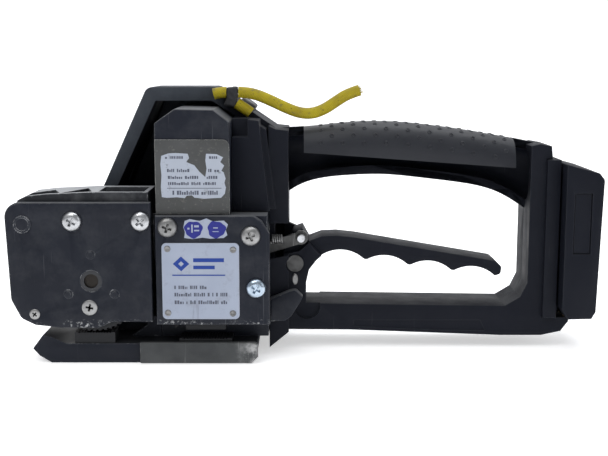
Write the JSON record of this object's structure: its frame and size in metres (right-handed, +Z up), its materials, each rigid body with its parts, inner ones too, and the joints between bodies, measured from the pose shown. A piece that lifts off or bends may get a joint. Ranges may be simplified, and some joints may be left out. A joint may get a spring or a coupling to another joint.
{
  "type": "strapping tool",
  "caption": "Hand-held battery strapping tool: rocker with feed wheel, welding head, lever, closed handle and clip-on battery.",
  "frame": {"origin": "on the standing surface, under the middle of the tool's bounding box", "axes": "+X from the nose to the battery, +Y from the strap side to the drive side, +Z up"},
  "size_m": [0.3401, 0.116, 0.1567],
  "materials": {
    "bare_aluminium": "cast",
    "belt_rubber": "matte",
    "black_casting": "satin",
    "black_plastic": "moulded",
    "board_green": "matte",
    "brass": "machined",
    "bright_steel": "polished",
    "button_grey": "satin",
    "cell_wrap": "wrapped",
    "cord_yellow": "worn",
    "dark_steel": "blackened",
    "grip_rubber": "matte",
    "olive_plate": "satin",
    "plate_print": "satin",
    "steel": "machined"
  },
  "bodies": {
    "root": {"gear_case": "black_casting", "motor_block": "black_casting", "id_plate": "olive_plate", "motor_can": "steel", "tension_belt": "belt_rubber", "weld_belt": "belt_rubber", "weld_cover": "black_casting", "cover_screws": "steel", "nameplate": "plate_print", "base_plate": "black_casting", "gripper_plate": "dark_steel", "weld_anvil": "dark_steel", "base_side_block": "dark_steel", "grip_pad": "grip_rubber", "housing_left": "black_plastic", "housing_right": "black_plastic", "drive_cover": "black_plastic", "case_screws": "dark_steel", "cam_cover": "black_casting", "lever_pin": "dark_steel", "return_spring": "steel", "battery_rail": "black_plastic", "contact_blades": "brass", "control_board": "board_green", "cord_tail": "cord_yellow", "cord_loop": "cord_yellow", "cord_tie": "belt_rubber", "weld_springs": "steel"},
    "rocker": {"rocker_plate": "black_casting", "rocker_casting": "black_casting", "rocker_back_plate": "dark_steel", "rocker_screws": "bright_steel", "rocker_flat_screws": "steel", "rocker_pins": "steel", "sun_shaft_bushes": "bright_steel", "rocker_belt": "belt_rubber"},
    "feed_wheel": {"feed_wheel": "dark_steel"},
    "sun_shaft": {"sun_shaft": "steel", "sun_pulley": "bare_aluminium"},
    "planet_1": {"planet_gear_1": "steel"},
    "planet_2": {"planet_gear_2": "steel"},
    "planet_3": {"planet_gear_3": "steel"},
    "motor_rotor": {"motor_rotor": "dark_steel"},
    "pivot_shaft": {"pivot_shaft": "steel", "pivot_pulleys": "bare_aluminium"},
    "eccentric": {"eccentric_shaft": "steel", "eccentric_pulley": "bare_aluminium"},
    "weld_carrier": {"weld_carrier": "bare_aluminium", "strap_cutter": "steel"},
    "weld_shoe": {"weld_shoe": "dark_steel"},
    "lever": {"lever": "black_plastic", "link_pin": "bright_steel"},
    "pull_link": {"pull_link": "steel"},
    "battery": {"battery_case": "black_plastic", "battery_cells": "cell_wrap"},
    "battery_button_front": {"battery_button_front": "black_plastic"},
    "battery_button_rear": {"battery_button_rear": "black_plastic"},
    "tension_button": {"tension_button": "button_grey"},
    "weld_button": {"weld_button": "button_grey"},
    "tension_dial": {"tension_dial": "button_grey"}
  },
  "joints": [
    {"name": "rocker_lift", "type": "hinge", "parent": "root", "child": "rocker", "pos_m": [-0.0793, 0, 0.074], "axis": [0, 1, 0], "range_deg": [0, 5], "stiffness_Nm_per_rad": 30, "springref_deg": -4.01},
    {"name": "wheel_spin", "type": "hinge", "parent": "rocker", "child": "feed_wheel", "pos_m": [-0.1227, 0, 0.0486], "axis": [0, 1, 0], "continuous": true},
    {"name": "sun_spin", "type": "hinge", "parent": "rocker", "child": "sun_shaft", "pos_m": [-0.1227, 0, 0.0486], "axis": [0, 1, 0], "continuous": true},
    {"name": "planet_1_spin", "type": "hinge", "parent": "rocker", "child": "planet_1", "pos_m": [-0.1227, 0, 0.0636], "axis": [0, 1, 0], "continuous": true},
    {"name": "planet_2_spin", "type": "hinge", "parent": "rocker", "child": "planet_2", "pos_m": [-0.13569, 0, 0.0411], "axis": [0, 1, 0], "continuous": true},
    {"name": "planet_3_spin", "type": "hinge", "parent": "rocker", "child": "planet_3", "pos_m": [-0.10971, 0, 0.0411], "axis": [0, 1, 0], "continuous": true},
    {"name": "pivot_shaft_spin", "type": "hinge", "parent": "root", "child": "pivot_shaft", "pos_m": [-0.0793, 0, 0.074], "axis": [0, 1, 0], "continuous": true},
    {"name": "motor_spin", "type": "hinge", "parent": "root", "child": "motor_rotor", "pos_m": [-0.0655, 0, 0.116], "axis": [0, 1, 0], "continuous": true},
    {"name": "eccentric_spin", "type": "hinge", "parent": "root", "child": "eccentric", "pos_m": [-0.0595, 0, 0.039], "axis": [0, 1, 0], "continuous": true},
    {"name": "weld_press", "type": "slide", "parent": "root", "child": "weld_carrier", "axis": [0, 0, -1], "range_m": [0, 0.0038], "stiffness_N_per_m": 3000, "springref_m": -0.001, "deforming": ["weld_springs"]},
    {"name": "shoe_shake", "type": "slide", "parent": "weld_carrier", "child": "weld_shoe", "axis": [1, 0, 0], "range_m": [-0.0012, 0.0012], "stiffness_N_per_m": 500},
    {"name": "lever_pull", "type": "hinge", "parent": "root", "child": "lever", "pos_m": [-0.0086, 0, 0.0516], "axis": [0, -1, 0], "range_deg": [0, 15]},
    {"name": "link_swing", "type": "hinge", "parent": "lever", "child": "pull_link", "pos_m": [-0.0051, 0, 0.0667], "axis": [0, 1, 0], "range_deg": [0, 14]},
    {"name": "battery_slide", "type": "slide", "parent": "root", "child": "battery", "axis": [0, 0, 1], "range_m": [0, 0.086]},
    {"name": "battery_button_front_press", "type": "slide", "parent": "battery", "child": "battery_button_front", "axis": [0, 1, 0], "range_m": [0, 0.0018], "stiffness_N_per_m": 800},
    {"name": "battery_button_rear_press", "type": "slide", "parent": "battery", "child": "battery_button_rear", "axis": [0, -1, 0], "range_m": [0, 0.0018], "stiffness_N_per_m": 800},
    {"name": "tension_button_press", "type": "slide", "parent": "root", "child": "tension_button", "axis": [-0.5678, 0, -0.8231], "range_m": [0, 0.002], "stiffness_N_per_m": 600},
    {"name": "weld_button_press", "type": "slide", "parent": "root", "child": "weld_button", "axis": [-0.5678, 0, -0.8231], "range_m": [0, 0.002], "stiffness_N_per_m": 600},
    {"name": "dial_turn", "type": "hinge", "parent": "root", "child": "tension_dial", "pos_m": [-0.0793, 0, 0.072], "axis": [0, 1, 0], "range_deg": [0, 270]}
  ],
  "couplings": [
    {"joint": "lever_pull", "follows": "rocker_lift", "ratio": 3},
    {"joint": "link_swing", "follows": "rocker_lift", "ratio": 2.78},
    {"joint": "sun_spin", "follows": "wheel_spin", "ratio": -3},
    {"joint": "planet_1_spin", "follows": "wheel_spin", "ratio": 3},
    {"joint": "planet_2_spin", "follows": "wheel_spin", "ratio": 3},
    {"joint": "planet_3_spin", "follows": "wheel_spin", "ratio": 3},
    {"joint": "pivot_shaft_spin", "follows": "wheel_spin", "ratio": -3},
    {"joint": "motor_spin", "follows": "wheel_spin", "ratio": -5.5385},
    {"joint": "eccentric_spin", "follows": "wheel_spin", "ratio": -3.6}
  ]
}
